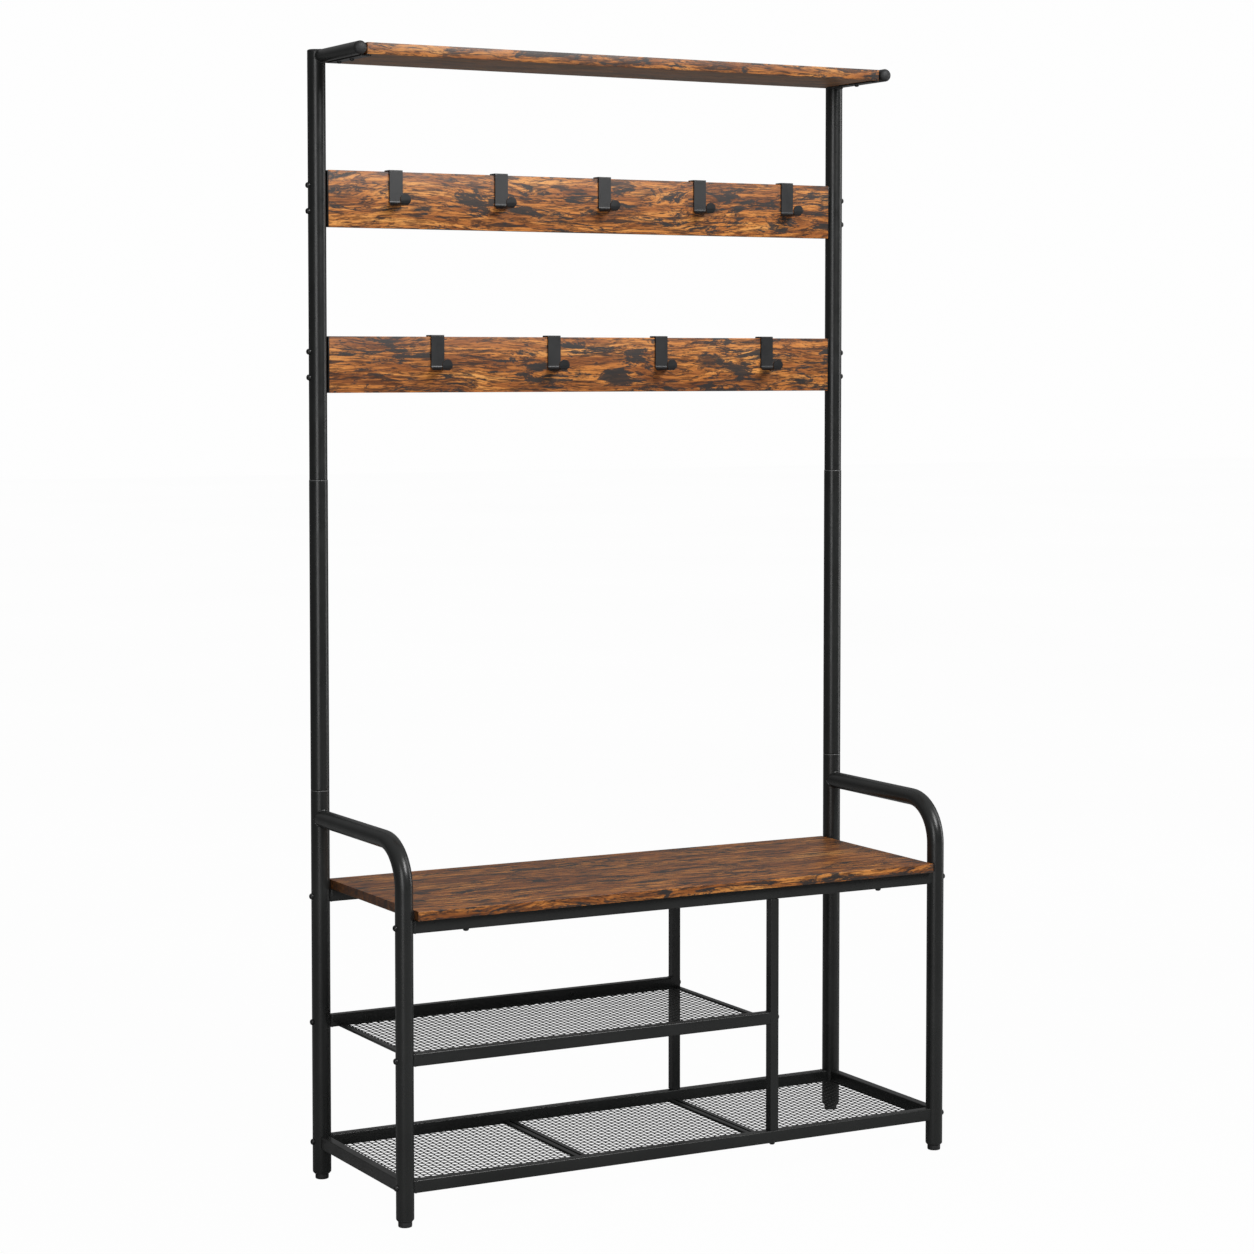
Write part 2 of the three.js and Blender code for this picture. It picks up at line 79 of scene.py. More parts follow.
# ---- node helpers ----
class Nodes:
    """A small builder for one material's node tree."""

    def __init__(self, name):
        self.material = bpy.data.materials.new(name)
        self.material.use_nodes = True
        self.tree = self.material.node_tree
        self.shader = self.tree.nodes["Principled BSDF"]
        self.coords = self.tree.nodes.new("ShaderNodeTexCoord").outputs["Object"]

    def new(self, kind, **values):
        node = self.tree.nodes.new(kind)
        for key, value in values.items():
            setattr(node, key, value)
        return node

    def link(self, source, target):
        self.tree.links.new(source, target)

    def scaled(self, scale, offset=(0, 0, 0)):
        node = self.new("ShaderNodeMapping")
        node.inputs["Scale"].default_value = scale
        node.inputs["Location"].default_value = offset
        self.link(self.coords, node.inputs["Vector"])
        return node.outputs["Vector"]

    def noise(self, vector, detail=4.0, roughness=0.55, distortion=0.0):
        node = self.new("ShaderNodeTexNoise")
        node.inputs["Scale"].default_value = 1.0
        node.inputs["Detail"].default_value = detail
        node.inputs["Roughness"].default_value = roughness
        node.inputs["Distortion"].default_value = distortion
        self.link(vector, node.inputs["Vector"])
        return node.outputs["Fac"]

    def ramp(self, source, stops):
        node = self.new("ShaderNodeValToRGB")
        elements = node.color_ramp.elements
        while len(elements) < len(stops):
            elements.new(0.5)
        for element, (position, colour) in zip(elements, stops):
            element.position = position
            element.color = (*colour, 1)
        self.link(source, node.inputs["Fac"])
        return node.outputs["Color"]

    def remap(self, source, low, high, to_low, to_high):
        node = self.new("ShaderNodeMapRange")
        node.inputs["From Min"].default_value = low
        node.inputs["From Max"].default_value = high
        node.inputs["To Min"].default_value = to_low
        node.inputs["To Max"].default_value = to_high
        self.link(source, node.inputs["Value"])
        return node.outputs["Result"]

    def math(self, operation, *values):
        node = self.new("ShaderNodeMath", operation=operation)
        for socket, value in zip(node.inputs, values):
            if isinstance(value, (int, float)):
                socket.default_value = value
            else:
                self.link(value, socket)
        return node.outputs["Value"]

    def mix(self, factor, a, b):
        node = self.new("ShaderNodeMix", data_type="RGBA")
        pairs = ((node.inputs[0], factor), (node.inputs[6], a), (node.inputs[7], b))
        for socket, value in pairs:
            if isinstance(value, (int, float)):
                socket.default_value = value
            elif isinstance(value, tuple):
                socket.default_value = (*value, 1)
            else:
                self.link(value, socket)
        return node.outputs[2]

    def bump(self, height, strength, distance):
        node = self.new("ShaderNodeBump")
        node.inputs["Strength"].default_value = strength
        node.inputs["Distance"].default_value = distance
        self.link(height, node.inputs["Height"])
        self.link(node.outputs["Normal"], self.shader.inputs["Normal"])

    def colour(self, source):
        self.link(source, self.shader.inputs["Base Color"])

    def roughness(self, source):
        self.link(source, self.shader.inputs["Roughness"])


# ---- materials ----
def shade(tone, factor):
    return tuple(channel * factor for channel in tone)


def powder_coat(name, tone, gloss, grain=1400):
    """Satin black powder coat: fine orange peel, uneven gloss and a little dust in the colour."""
    n = Nodes(name)
    cloud = n.noise(n.scaled((9, 9, 9)), detail=3)
    speck = n.noise(n.scaled((grain, grain, grain)), detail=2)
    base = n.ramp(cloud, [(0.3, shade(tone, 0.75)), (0.7, shade(tone, 1.3))])
    n.colour(n.mix(n.remap(speck, 0.45, 0.75, 0, 0.35), base, shade(tone, 2.0)))
    wear = n.noise(n.scaled((30, 30, 30)), detail=5)
    n.roughness(n.remap(wear, 0.3, 0.7, gloss - 0.05, gloss + 0.07))
    n.bump(speck, 0.16, 0.00012)
    n.shader.inputs["Specular IOR Level"].default_value = 0.42
    return n.material


def moulded_plastic(name, tone):
    """Matt black moulded plastic with a fine spark-eroded texture."""
    n = Nodes(name)
    speck = n.noise(n.scaled((2200, 2200, 2200)), detail=2)
    cloud = n.noise(n.scaled((40, 40, 40)), detail=2)
    n.colour(n.ramp(cloud, [(0.3, shade(tone, 0.85)), (0.7, shade(tone, 1.25))]))
    n.roughness(n.remap(speck, 0.3, 0.7, 0.5, 0.68))
    n.bump(speck, 0.2, 0.00008)
    return n.material


def rustic_wood(name, flat, light=1.0, end_dark=0.75):
    """Rustic brown board, grain along X; a flat board shows its narrow edges to the front and rear. End
    faces are darkened, edge colour with painted shade; a flat board's underside gets a lighter, warmer
    tone, painted bounce light.
    """
    n = Nodes(name)
    normal = n.new("ShaderNodeSeparateXYZ")
    n.link(n.tree.nodes["Texture Coordinate"].outputs["Normal"], normal.inputs[0])
    sway = n.noise(n.scaled((2.6, 6, 6)), detail=2)
    bend = n.new("ShaderNodeVectorMath", operation="SCALE")
    bend.inputs[0].default_value = (0, 1, 1)
    n.link(n.math("MULTIPLY", n.math("SUBTRACT", sway, 0.5), 0.06), bend.inputs["Scale"])
    moved = n.new("ShaderNodeVectorMath", operation="ADD")
    n.link(n.coords, moved.inputs[0])
    n.link(bend.outputs["Vector"], moved.inputs[1])
    n.coords = moved.outputs["Vector"]

    broad = n.noise(n.scaled((4, 26, 26)), detail=5, roughness=0.6)
    streak = n.noise(n.scaled((7, 110, 110)), detail=6, roughness=0.62, distortion=0.45)
    fine = n.noise(n.scaled((30, 330, 330)), detail=5, roughness=0.7, distortion=0.3)
    patch = n.noise(n.scaled((12, 44, 44), (3.1, 1.7, 0.4)), detail=7, roughness=0.72, distortion=0.6)
    crack = n.noise(n.scaled((14, 150, 150), (0.7, 5.1, 2.2)), detail=6, roughness=0.7, distortion=0.7)
    pores = n.noise(n.scaled((60, 900, 900)), detail=2)

    tone = n.math("ADD", n.math("MULTIPLY", broad, 0.5), n.math("MULTIPLY", streak, 0.5))
    base = n.ramp(
        tone,
        [
            (0.36, shade((0.130, 0.036, 0.008), light)),
            (0.45, shade((0.330, 0.104, 0.020), light)),
            (0.53, shade((0.560, 0.200, 0.038), light)),
            (0.66, shade((0.780, 0.360, 0.095), light)),
        ],
    )
    lined = n.mix(n.remap(fine, 0.42, 0.52, 0.75, 0.0), base, shade((0.090, 0.028, 0.009), light))
    wave = n.math("ABSOLUTE", n.math("SUBTRACT", streak, 0.5))
    waved = n.mix(n.remap(wave, 0.012, 0.030, 0.85, 0.0), lined, (0.038, 0.016, 0.009))
    cracked = n.mix(n.remap(crack, 0.54, 0.585, 0.0, 0.9), waved, (0.032, 0.017, 0.012))
    knots = n.new("ShaderNodeTexVoronoi")
    knots.inputs["Scale"].default_value = 1.0
    n.link(n.scaled((5.5, 17, 17), (0.3, 0.2, 0.6)), knots.inputs["Vector"])
    knot = n.remap(knots.outputs["Distance"], 0.07, 0.17, 0.85, 0.0)
    knotted = n.mix(knot, cracked, (0.050, 0.022, 0.013))
    ragged = n.math("ADD", n.math("MULTIPLY", patch, 0.78), n.math("MULTIPLY", crack, 0.22))
    worn = n.mix(n.remap(ragged, 0.53, 0.56, 0.0, 0.95), knotted, (0.021, 0.018, 0.017))

    # End faces are darkened by end_dark: darker edge colour together with painted shade.
    end = n.math("GREATER_THAN", n.math("ABSOLUTE", normal.outputs["X"]), 0.7)
    edged = n.mix(n.math("MULTIPLY", end, end_dark), worn, (0.045, 0.020, 0.010))
    # A flat board's underside is mixed halfway towards a light warm brown: painted bounce light.
    if flat:
        under = n.math("LESS_THAN", normal.outputs["Z"], -0.7)
        edged = n.mix(n.math("MULTIPLY", under, 0.5), edged, (0.230, 0.145, 0.085))
    n.colour(edged)
    n.roughness(n.remap(n.math("ADD", fine, patch), 0.8, 1.2, 0.34, 0.48))
    height = n.math("ADD", n.math("MULTIPLY", fine, 0.7), n.math("MULTIPLY", pores, 0.5))
    n.bump(height, 0.22, 0.0002)
    n.shader.inputs["Specular IOR Level"].default_value = 0.4
    return n.material


FRAME_STEEL = powder_coat("satin_black_steel", (0.0105, 0.0112, 0.0109), 0.30)
HOOK_STEEL = powder_coat("hook_black_steel", (0.0100, 0.0104, 0.0110), 0.36, 1800)
MESH_STEEL = powder_coat("mesh_black_steel", (0.012, 0.0125, 0.012), 0.42, 2400)
SCREW_STEEL = powder_coat("screw_black_steel", (0.0095, 0.0098, 0.0098), 0.30, 2600)
# A bright grey steel that paints a highlight on the lips at the post joints.
JOINT_HIGHLIGHT_STEEL = powder_coat("painted_highlight_joint_steel", (0.22, 0.222, 0.224), 0.28, 2600)
BOARD_WOOD = rustic_wood("rustic_brown_boards", flat=False)
SEAT_WOOD = rustic_wood("rustic_brown_seat", flat=True, light=0.85)
# The shelf's end faces get a weaker painted shade (end_dark 0.25).
SHELF_WOOD = rustic_wood("rustic_brown_shelf", flat=True, light=0.78, end_dark=0.25)
PLASTIC = moulded_plastic("black_plastic_moulding", (0.0095, 0.0095, 0.010))
MATERIALS = {
    "frame_steel": FRAME_STEEL,
    "hook_steel": HOOK_STEEL,
    "shelf_mesh": MESH_STEEL,
    "rustic_wood": BOARD_WOOD,
    "black_plastic": PLASTIC,
}
OWN_MATERIAL = {"seat_board": SEAT_WOOD, "top_shelf": SHELF_WOOD}
SLOT_OF = {row["node"]: row["material_slot"] for row in frame["record"]["subparts"]}
BODY_OF = {
    node: body for body, nodes in frame["record"]["behaviour"]["bodies"].items() for node in nodes
}


# ---- piece helpers ----
def finish_mesh(bm):
    """Smooth faces with hard edges kept, welded vertices and outward normals."""
    bmesh.ops.remove_doubles(bm, verts=bm.verts, dist=1e-6)
    bmesh.ops.recalc_face_normals(bm, faces=bm.faces)
    for face in bm.faces:
        face.smooth = True
    for edge in bm.edges:
        edge.smooth = len(edge.link_faces) == 2 and edge.calc_face_angle(0) < SMOOTH_ANGLE


def piece(name, bm, material, body):
    finish_mesh(bm)
    mesh = bpy.data.meshes.new(name)
    bm.to_mesh(mesh)
    bm.free()
    mesh.materials.append(material)
    made = bpy.data.objects.new(name, mesh)
    bpy.context.scene.collection.objects.link(made)
    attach(made, body)
    return made


def bevelled(made, width, segments=3):
    modifier = made.modifiers.new("bevel", "BEVEL")
    modifier.width = width
    modifier.segments = segments
    modifier.limit_method = "ANGLE"
    modifier.angle_limit = math.radians(40)
    modifier.use_clamp_overlap = True
    return made


def from_node(node, bevel, segments):
    """A finished copy of a CAD node: welded, smooth shaded, its sharp edges softened."""
    bm = bmesh.new()
    bm.from_mesh(frame["nodes"][node].data)
    bmesh.ops.remove_doubles(bm, verts=bm.verts, dist=1e-6)
    bmesh.ops.dissolve_limit(bm, angle_limit=math.radians(0.5), verts=bm.verts, edges=bm.edges)
    material = OWN_MATERIAL.get(node, MATERIALS[SLOT_OF[node]])
    made = piece(f"{node}_finished", bm, material, BODY_OF[node])
    if bevel:
        bevelled(made, bevel, segments)
    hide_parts(node)


def turned(profile, segments=32):
    """A bmesh turned about +Z from (radius, z) points: a closed ring, or ends on the axis."""
    bm = bmesh.new()
    rings = []
    for radius, z in profile:
        if radius == 0:
            rings.append([bm.verts.new((0, 0, z))])
            continue
        angles = [2 * math.pi * i / segments for i in range(segments)]
        rings.append([bm.verts.new((radius * math.cos(a), radius * math.sin(a), z)) for a in angles])
    for low, high in zip(rings, rings[1:]):
        for i in range(segments):
            j = (i + 1) % segments
            corners = [low[i % len(low)], low[j % len(low)], high[j % len(high)], high[i % len(high)]]
            unique = list(dict.fromkeys(corners))
            if len(unique) > 2:
                bm.faces.new(unique)
    return bm


def bead_along(points, radii):
    """A closed round bead along a loop of points, its radius given at each one."""
    bm = bmesh.new()
    count = len(points)
    sides = 8
    rings = []
    for i, point in enumerate(points):
        tangent = (points[(i + 1) % count] - points[i - 1]).normalized()
        across = tangent.cross(Vector((0, 0, 1)))
        if across.length < 1e-3:
            across = tangent.cross(Vector((1, 0, 0)))
        across.normalize()
        up = across.cross(tangent).normalized()
        ring = []
        for k in range(sides):
            a = 2 * math.pi * k / sides
            ring.append(bm.verts.new(point + (across * math.cos(a) + up * math.sin(a)) * radii[i]))
        rings.append(ring)
    for i in range(count):
        low, high = rings[i], rings[(i + 1) % count]
        for k in range(sides):
            m = (k + 1) % sides
            bm.faces.new((low[k], low[m], high[m], high[k]))
    return bm


def slab(low, high):
    """A bmesh block between two corners, for a bevel modifier to soften."""
    bm = bmesh.new()
    xs, ys, zs = zip(low, high)
    corners = [bm.verts.new((x, y, z)) for x in xs for y in ys for z in zs]
    for quad in ((0, 1, 3, 2), (4, 6, 7, 5), (0, 4, 5, 1), (2, 3, 7, 6), (0, 2, 6, 4), (1, 5, 7, 3)):
        bm.faces.new([corners[i] for i in quad])
    return bm


def placed(bm, at, direction):
    """Turns a bmesh's +Z to a direction and moves it to a point."""
    turn = Vector((0, 0, 1)).rotation_difference(Vector(direction)).to_matrix().to_4x4()
    bm.transform(Matrix.Translation(Vector(at)) @ turn)
    return bm


def centre(node):
    low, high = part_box(node)
    return (low + high) / 2


def half_width(node):
    low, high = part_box(node)
    return (high.x - low.x) / 2


def surface_x(node, sign):
    """The right face of a node's box for sign 1, and the left one for sign -1."""
    low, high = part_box(node)
    return high.x if sign > 0 else low.x


# ---- CAD nodes carried over ----
# Bevel width and segments by the start of a node's name. The first one that fits counts.
BEVELS = {
    "hook_board": (0.7 * MM, 3),
    "hook": (0.4 * MM, 3),
    "upright": (1.6 * MM, 4),
    "seat_board": (0.7 * MM, 3),
    "top_shelf": (0.7 * MM, 3),
    "shelf_bracket": (0.6 * MM, 3),
    "middle_shelf_bar": (0.6 * MM, 2),
    "post_lower": (1.1 * MM, 3),
    "post_middle": (1.1 * MM, 3),
    "post_upper": (0.6 * MM, 3),
}
OWN_LOOK = ("levelling_foot", "lower_shelf_bar", "board_bracket")


def bevel_of(node):
    for prefix, values in BEVELS.items():
        if node.startswith(prefix):
            return values
    return (0.0, 0)


for node in sorted(frame["nodes"]):
    if "_mesh" in node or node.startswith(OWN_LOOK):
        continue
    from_node(node, *bevel_of(node))


# ---- levelling feet: ribbed pad on a threaded stem ----
PAD_HEIGHT = 8.7 * MM
PAD_RECESS = 0.6 * MM
STEM_RADIUS = 4 * MM
THREAD_PITCH = 1.25 * MM
RIBS = 24
RIB_DEPTH = 0.03


def levelling_foot(node):
    low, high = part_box(node)
    middle = centre(node)
    radius = half_width(node)
    pad_top = low.z + PAD_HEIGHT
    profile = [
        (0, PAD_RECESS),
        (radius * 0.55, PAD_RECESS),
        (radius * 0.62, 0),
        (radius - 1.5 * MM, 0),
        (radius - 0.4 * MM, 0.5 * MM),
        (radius, 1.8 * MM),
        (radius, pad_top - 1.0 * MM),
        (radius - 0.3 * MM, pad_top - 0.3 * MM),
        (radius - 1.0 * MM, pad_top),
        (STEM_RADIUS + 0.1 * MM, pad_top),
    ]
    turns = int((high.z - pad_top) / THREAD_PITCH) - 1
    for i in range(turns):
        z = pad_top + (i + 0.2) * THREAD_PITCH
        profile += [
            (STEM_RADIUS - 0.55 * MM, z),
            (STEM_RADIUS, z + THREAD_PITCH * 0.42),
            (STEM_RADIUS, z + THREAD_PITCH * 0.55),
        ]
    profile += [(STEM_RADIUS - 0.6 * MM, high.z - 0.5 * MM), (0, high.z)]
    bm = turned(profile, 48)
    for vert in bm.verts:
        reach = math.hypot(vert.co.x, vert.co.y)
        if reach > radius - 0.1 * MM:
            angle = math.atan2(vert.co.y, vert.co.x)
            shrink = 1 - RIB_DEPTH * (0.5 + 0.5 * math.cos(angle * RIBS))
            vert.co.x *= shrink
            vert.co.y *= shrink
    bm.transform(Matrix.Translation((middle.x, middle.y, 0)))
    made = piece(f"{node}_ribbed", bm, PLASTIC, BODY_OF[node])
    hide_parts(node)


for node in sorted(frame["nodes"]):
    if node.startswith("levelling_foot"):
        levelling_foot(node)


# ---- mesh shelves: expanded steel with six-sided openings, its edges let into the rails ----
CELL_X = 9.8 * MM
CELL_Y = 12.5 * MM
STRAND = 2.8 * MM
SHEET = 1.2 * MM
TWIST = 0.35 * MM
CELL_RING = ((2, 0), (1, 1), (-1, 1), (-2, 0), (-1, -1), (1, -1))


def expanded_mesh(node):
    """Staggered hexagons on a grid of CELL_X / 3 by CELL_Y / 2, each one with its own opening."""
    low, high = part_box(node)
    z = (low.z + high.z) / 2
    step_x, step_y = CELL_X / 3, CELL_Y / 2
    open_share = 1 - STRAND / CELL_Y
    overlap = 3.0 * MM
    columns = int((high.x - low.x + 2 * overlap) / CELL_X)
    rows = int((high.y - low.y + 2 * overlap) / CELL_Y)
    x0 = (low.x + high.x) / 2 - (columns - 1) * CELL_X / 2
    y0 = (low.y + high.y) / 2 - (2 * rows - 1) * step_y / 2
    bm = bmesh.new()
    corners = {}
    walls = {}
    sides = (1, -1)

    def corner(i, j, side):
        key = (i, j, side)
        if key not in corners:
            corners[key] = bm.verts.new((x0 + i * step_x, y0 + j * step_y, z + side * SHEET / 2))
        return corners[key]

    for column in range(columns):
        i = 3 * column
        for row in range(rows):
            j = 2 * row + column % 2
            outer = {side: [corner(i + dx, j + dy, side) for dx, dy in CELL_RING] for side in sides}
            inner = {}
            for side in sides:
                inner[side] = [
                    bm.verts.new(
                        (
                            x0 + (i + dx * open_share) * step_x,
                            y0 + (j + dy * open_share) * step_y,
                            z + side * SHEET / 2 + dy * TWIST,
                        )
                    )
                    for dx, dy in CELL_RING
                ]
            for k in range(6):
                m = (k + 1) % 6
                for side in sides:
                    bm.faces.new((outer[side][k], outer[side][m], inner[side][m], inner[side][k]))
                bm.faces.new((inner[1][k], inner[1][m], inner[-1][m], inner[-1][k]))
                wall = frozenset((id(outer[1][k]), id(outer[1][m])))
                walls.setdefault(wall, []).append((outer, k, m))
    for users in walls.values():
        if len(users) == 1:
            outer, k, m = users[0]
            bm.faces.new((outer[1][k], outer[1][m], outer[-1][m], outer[-1][k]))
    made = piece(f"{node}_expanded", bm, MESH_STEEL, "frame")
    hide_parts(node)


for node in sorted(frame["nodes"]):
    if "_mesh" in node:
        expanded_mesh(node)


# ---- screws ----
SCREW_RADIUS = 4.9 * MM
SCREW_HEIGHT = 4.1 * MM
BOARD_SCREW_HEIGHT = 4.6 * MM
BOARD_SCREW_OFFSET = 20.5 * MM
SHELF_SCREW_RADIUS = 4.0 * MM
SHELF_SCREW_HEIGHT = 3.2 * MM
SHELF_SCREW_Y = (112.5 * MM, 62.5 * MM, 2.5 * MM)
SEAT_SCREW_X = {"left": -382 * MM, "right": 372 * MM}
TUBE_SINK = 0.9 * MM
FLAT_SINK = 0.2 * MM
POST_GAP = 0.3 * MM
HOLDERS = {"front": "armrest_leg", "rear": "post_lower"}


def screw_mesh(at, direction, radius, height, sink):
    """A button head with a hexagon socket, its underside sunk a little into a round tube."""
    profile = [
        (0, -sink),
        (radius * 0.98, -sink),
        (radius, -sink * 0.5),
        (radius, 0.25 * height),
        (radius * 0.93, 0.55 * height),
        (radius * 0.78, 0.80 * height),
        (radius * 0.58, 0.95 * height),
        (radius * 0.42, height),
        (radius * 0.38, height - 0.15 * MM),
        (radius * 0.36, height * 0.35),
        (0, height * 0.28),
    ]
    bm = turned(profile, 24)
    socket = radius * 0.39
    for vert in bm.verts:
        reach = math.hypot(vert.co.x, vert.co.y)
        if 1e-6 < reach < socket and vert.co.z > 0:
            angle = math.atan2(vert.co.y, vert.co.x)
            sixth = math.pi / 3
            hexagon = math.cos(sixth / 2) / math.cos((angle % sixth) - sixth / 2)
            vert.co.x *= hexagon
            vert.co.y *= hexagon
    return placed(bm, at, direction)


def screw_head(name, at, direction, radius=SCREW_RADIUS, height=SCREW_HEIGHT, sink=TUBE_SINK):
    bm = screw_mesh(at, direction, radius, height, sink)
    piece(name, bm, SCREW_STEEL, "frame")


def join(bm, other):
    """Adds the faces of another bmesh to bm and frees it."""
    mesh = bpy.data.meshes.new("joined")
    other.to_mesh(mesh)
    other.free()
    bm.from_mesh(mesh)
    bpy.data.meshes.remove(mesh)


for side, s in SIDES.items():
    post = f"post_upper_{side}"
    for level in ("upper", "lower"):
        node = f"board_bracket_{level}_{side}"
        low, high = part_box(node)
        xs = sorted((surface_x(node, -s), surface_x(post, -s) - s * POST_GAP))
        bm = slab((xs[0], low.y, low.z), (xs[1], high.y, high.z))
        bmesh.ops.bevel(bm, geom=bm.edges[:], offset=0.35 * MM, segments=2, profile=0.5, affect="EDGES")
        for shift in (BOARD_SCREW_OFFSET, -BOARD_SCREW_OFFSET):
            at = (surface_x(post, s), centre(post).y, (low.z + high.z) / 2 + shift)
            join(bm, screw_mesh(at, (s, 0, 0), SCREW_RADIUS, BOARD_SCREW_HEIGHT, TUBE_SINK))
        made = piece(f"{node}_finished", bm, SCREW_STEEL, BODY_OF[node])
        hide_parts(node)

for side, s in SIDES.items():
    for row in ROWS:
        tube_x = surface_x(f"{HOLDERS[row]}_{side}", s)
        y = centre(f"seat_rail_{row}").y
        rails = [f"seat_rail_{row}", f"lower_shelf_rail_{row}"]
        if side == "left":
            rails.append(f"middle_shelf_rail_{row}")
        for rail in rails:
            screw_head(f"screw_{rail}_{side}", (tube_x, y, centre(rail).z), (s, 0, 0))

for row in ROWS:
    upright = centre(f"upright_{row}")
    at = (surface_x(f"upright_{row}", 1), upright.y, centre(f"middle_shelf_rail_{row}").z)
    screw_head(f"screw_upright_{row}", at, (1, 0, 0), sink=FLAT_SINK)
    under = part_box(f"lower_shelf_rail_{row}")[0].z
    at = (upright.x, upright.y, under)
    screw_head(f"screw_upright_foot_{row}", at, (0, 0, -1), sink=FLAT_SINK)
    seat_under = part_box(f"seat_rail_{row}")[0].z
    for label, x in SEAT_SCREW_X.items():
        at = (x, upright.y, seat_under)
        screw_head(f"screw_seat_{row}_{label}", at, (0, 0, -1), sink=FLAT_SINK)

for side in SIDES:
    plate = f"shelf_bracket_{side}"
    plate_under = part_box(plate)[0].z
    shelf_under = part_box("top_shelf")[0].z
    heights = (plate_under, plate_under, shelf_under)
    for i, (y, z) in enumerate(zip(SHELF_SCREW_Y, heights)):
        name = f"screw_shelf_{side}_{i + 1}"
        at = (centre(plate).x, y, z)
        screw_head(name, at, (0, 0, -1), SHELF_SCREW_RADIUS, SHELF_SCREW_HEIGHT, FLAT_SINK)


# ---- weld beads where the arms meet the posts ----
BEAD_RADIUS = 1.15 * MM
BEAD_RIPPLE = 0.18 * MM
BEAD_RIPPLES = 18
BEAD_STEPS = 72


def weld_bead(name, tube_x, tube_z, tube_r, post, post_r):
    """A bead where a tube that runs along Y meets the front of a round post."""
    points, radii = [], []
    for i in range(BEAD_STEPS):
        a = 2 * math.pi * i / BEAD_STEPS
        x = tube_x + tube_r * math.cos(a)
        y = post.y - math.sqrt(post_r**2 - (x - post.x) ** 2)
        points.append(Vector((x, y, tube_z + tube_r * math.sin(a))))
        radii.append(BEAD_RADIUS + BEAD_RIPPLE * math.sin(a * BEAD_RIPPLES))
    bm = bead_along(points, radii)
    for vert in bm.verts:
        vert.co.z = min(vert.co.z, cad_high.z)
    piece(name, bm, FRAME_STEEL, "frame")


for side in SIDES:
    leg = f"armrest_leg_{side}"
    arm = f"shelf_arm_{side}"
    post = centre(f"post_lower_{side}")
    post_r = half_width(f"post_lower_{side}")
    cap_r = half_width(f"post_cap_{side}")
    leg_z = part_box(leg)[1].z - half_width(leg)
    arm_at = centre(arm)
    weld_bead(f"weld_armrest_{side}", post.x, leg_z, half_width(leg), post, post_r)
    weld_bead(f"weld_shelf_arm_{side}", arm_at.x, arm_at.z, half_width(arm), post, cap_r)


# ---- the lower shelf's cross bars: a flat channel with a groove along its middle ----
def grooved_bar(node):
    low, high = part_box(node)
    x = centre(node).x
    half = half_width(node)
    groove = 1.9 * MM
    web = low.z + 1.2 * MM
    outline = [
        (x - half, low.z),
        (x + half, low.z),
        (x + half, high.z),
        (x + groove, high.z),
        (x + groove, web),
        (x - groove, web),
        (x - groove, high.z),
        (x - half, high.z),
    ]
    bm = bmesh.new()
    front, rear = ([bm.verts.new((px, y, pz)) for px, pz in outline] for y in (low.y, high.y))
    count = len(outline)
    for i in range(count):
        j = (i + 1) % count
        bm.faces.new((front[i], front[j], rear[j], rear[i]))
    bm.faces.new(front)
    bm.faces.new(list(reversed(rear)))
    made = piece(f"{node}_grooved", bm, FRAME_STEEL, BODY_OF[node])
    bevelled(made, 0.5 * MM, 2)
    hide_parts(node)


for node in sorted(frame["nodes"]):
    if node.startswith("lower_shelf_bar"):
        grooved_bar(node)


# ---- painted highlight: bright grey lips on the lower side of each post joint ----
def painted_highlight_lip(name, post):
    middle = centre(post)
    outer = half_width(post) - 0.02 * MM
    inner = half_width(post) - 1.3 * MM
    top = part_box(post)[1].z - 0.15 * MM
    bottom = top - 1.3 * MM
    profile = [
        (inner, bottom),
        (outer, bottom),
        (outer, top - 0.7 * MM),
        (half_width(post) - 0.25 * MM, top - 0.2 * MM),
        (half_width(post) - 0.7 * MM, top),
        (inner, top),
        (inner, bottom),
    ]
    bm = turned(profile, 64)
    bm.transform(Matrix.Translation((middle.x, middle.y, 0)))
    # The lip's bright grey is a painted highlight along the joint.
    piece(name, bm, JOINT_HIGHLIGHT_STEEL, "frame")


for side in SIDES:
    for section in ("lower", "middle"):
        painted_highlight_lip(f"painted_highlight_lip_{section}_{side}", f"post_{section}_{side}")


# ---- end plates welded into the rails where they meet the tubes ----
PLATE_GAP = 0.1 * MM


def end_plate(name, rail, x_end, s):
    low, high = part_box(rail)
    thick = 2.4 * MM
    grow = 0.3 * MM
    xs = sorted((x_end, x_end - s * thick))
    bm = slab((xs[0], low.y - grow, low.z - grow), (xs[1], high.y + grow, high.z + grow))
    bevelled(piece(name, bm, FRAME_STEEL, "frame"), 1.1 * MM)


for row in ROWS:
    for rail in ("seat_rail", "lower_shelf_rail", "middle_shelf_rail"):
        for side, s in SIDES.items():
            on_upright = rail == "middle_shelf_rail" and side == "right"
            holder = f"upright_{row}" if on_upright else f"{HOLDERS[row]}_{side}"
            x_end = surface_x(holder, -s) - s * PLATE_GAP
            end_plate(f"end_plate_{rail}_{row}_{side}", f"{rail}_{row}", x_end, s)


# ---- stage, light and camera ----
def soft_box(name, at, target, size, power):
    lamp = bpy.data.lights.new(name, "AREA")
    lamp.shape = "RECTANGLE"
    lamp.size, lamp.size_y = size
    lamp.energy = power
    made = bpy.data.objects.new(name, lamp)
    made.location = at
    made.rotation_mode = "QUATERNION"
    made.rotation_quaternion = (Vector(target) - Vector(at)).to_track_quat("-Z", "Y")
    bpy.context.scene.collection.objects.link(made)


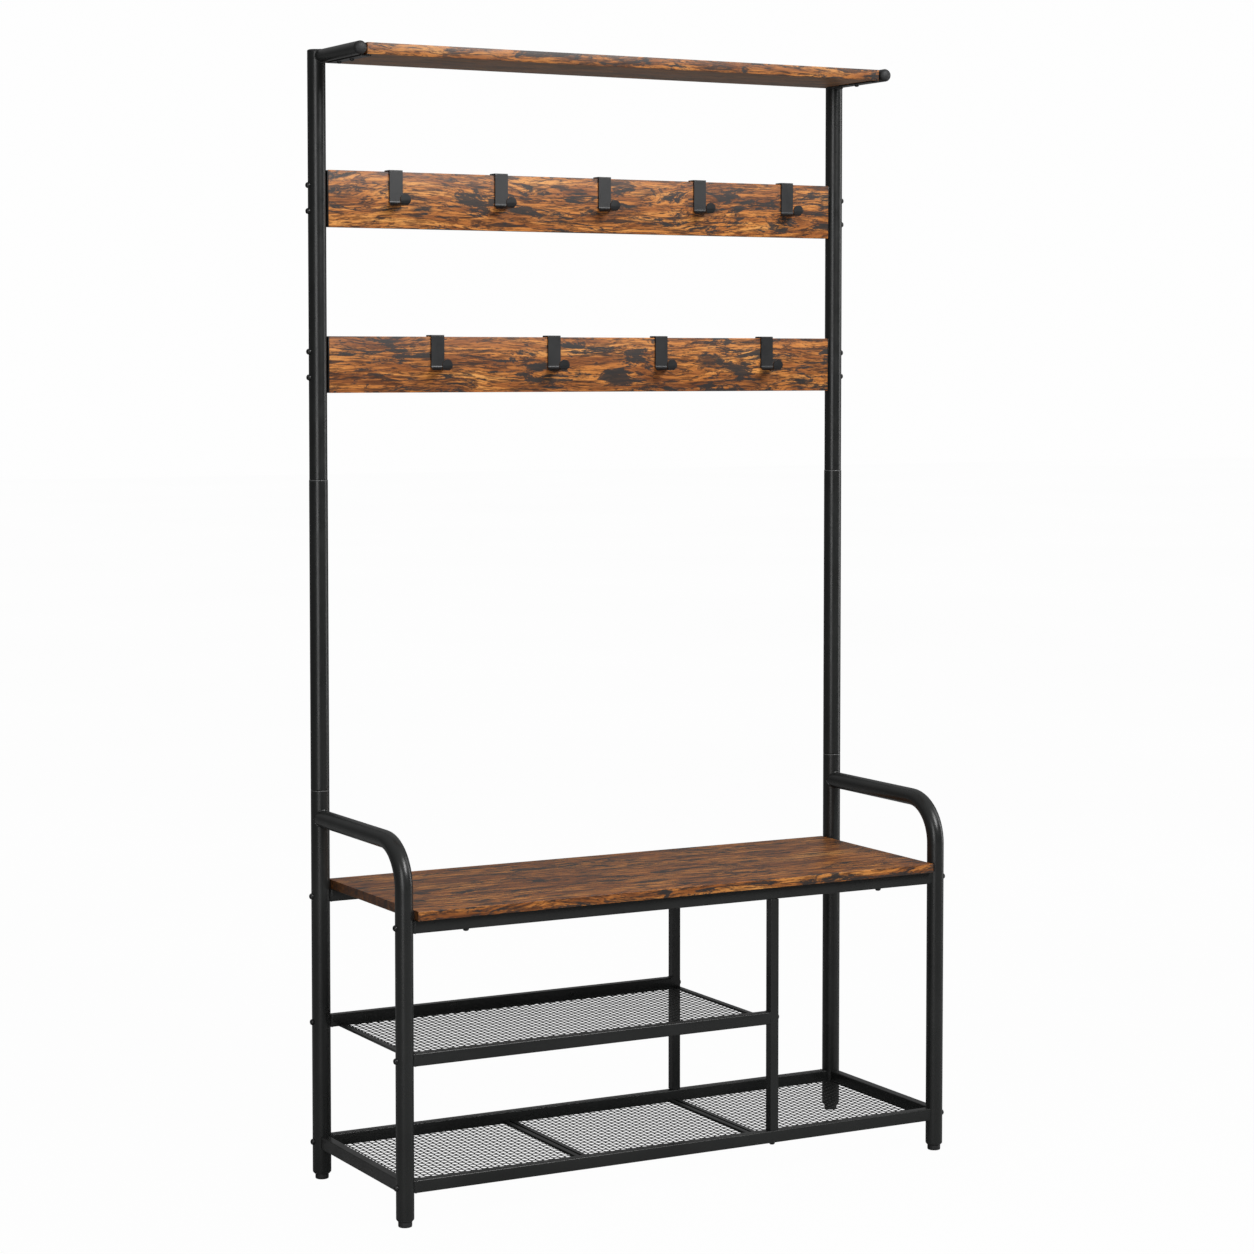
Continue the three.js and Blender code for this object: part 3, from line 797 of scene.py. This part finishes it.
def floor():
    bm = bmesh.new()
    half = 30
    corners = [bm.verts.new((x * half, y * half, 0)) for x, y in ((-1, -1), (1, -1), (1, 1), (-1, 1))]
    bm.faces.new(corners)
    mesh = bpy.data.meshes.new("floor")
    bm.to_mesh(mesh)
    bm.free()
    n = Nodes("pale_floor")
    mottle = n.noise(n.scaled((0.4, 0.4, 0.4)))
    n.colour(n.ramp(mottle, [(0.3, (0.34, 0.34, 0.34)), (0.7, (0.36, 0.36, 0.36))]))
    n.shader.inputs["Roughness"].default_value = 0.9
    n.shader.inputs["Specular IOR Level"].default_value = 0.0
    bright = n.new("ShaderNodeEmission")
    n.link(n.ramp(mottle, [(0.3, (0.992, 0.992, 0.992)), (0.7, (1, 1, 1))]), bright.inputs["Color"])
    seen = n.new("ShaderNodeMixShader")
    share = n.math("MULTIPLY", n.new("ShaderNodeLightPath").outputs["Is Camera Ray"], 0.985)
    n.link(share, seen.inputs[0])
    n.link(n.shader.outputs["BSDF"], seen.inputs[1])
    n.link(bright.outputs["Emission"], seen.inputs[2])
    n.link(seen.outputs["Shader"], n.tree.nodes["Material Output"].inputs["Surface"])
    mesh.materials.append(n.material)
    made = bpy.data.objects.new("floor", mesh)
    bpy.context.scene.collection.objects.link(made)
    made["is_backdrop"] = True


def world():
    made = bpy.data.worlds.new("studio")
    made.use_nodes = True
    tree = made.node_tree
    back = tree.nodes["Background"]
    path = tree.nodes.new("ShaderNodeLightPath")
    coords = tree.nodes.new("ShaderNodeTexCoord")
    split = tree.nodes.new("ShaderNodeSeparateXYZ")
    ramp = tree.nodes.new("ShaderNodeValToRGB")
    mix = tree.nodes.new("ShaderNodeMix")
    mix.data_type = "RGBA"
    tree.links.new(coords.outputs["Generated"], split.inputs[0])
    tree.links.new(split.outputs["Z"], ramp.inputs["Fac"])
    ramp.color_ramp.elements[0].position = 0.0
    ramp.color_ramp.elements[0].color = (0.10, 0.10, 0.102, 1)
    ramp.color_ramp.elements[1].position = 1.0
    ramp.color_ramp.elements[1].color = (0.55, 0.55, 0.55, 1)
    tree.links.new(path.outputs["Is Camera Ray"], mix.inputs[0])
    tree.links.new(ramp.outputs["Color"], mix.inputs[6])
    mix.inputs[7].default_value = (0.99, 0.99, 0.99, 1)
    tree.links.new(mix.outputs[2], back.inputs["Color"])
    back.inputs["Strength"].default_value = 1.0
    bpy.context.scene.world = made


def camera():
    made = bpy.data.cameras.new("camera")
    made.sensor_width = 36
    made.lens = 88.6
    made.shift_y = -0.0791
    made.clip_end = 100
    holder = bpy.data.objects.new("camera", made)
    holder.location = (-2.420, -4.3965, 1.3126)
    yaw, pitch = math.radians(28.70), math.radians(3.02)
    ahead = Vector((math.sin(yaw) * math.cos(pitch), math.cos(yaw) * math.cos(pitch), -math.sin(pitch)))
    holder.rotation_mode = "QUATERNION"
    holder.rotation_quaternion = ahead.to_track_quat("-Z", "Y")
    bpy.context.scene.collection.objects.link(holder)
    bpy.context.scene.camera = holder


floor()
world()
soft_box("key", (1.3, -3.3, 3.5), (0, 0, 1.0), (1.7, 1.7), 150)
soft_box("fill", (-3.0, -3.2, 1.6), (0, 0, 1.0), (1.6, 3.0), 60)
soft_box("side", (3.6, -0.6, 1.6), (0, 0, 1.0), (1.0, 3.0), 30)
camera()
view = bpy.context.scene.view_settings
view.view_transform = "Standard"
view.look = "None"

low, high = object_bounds()
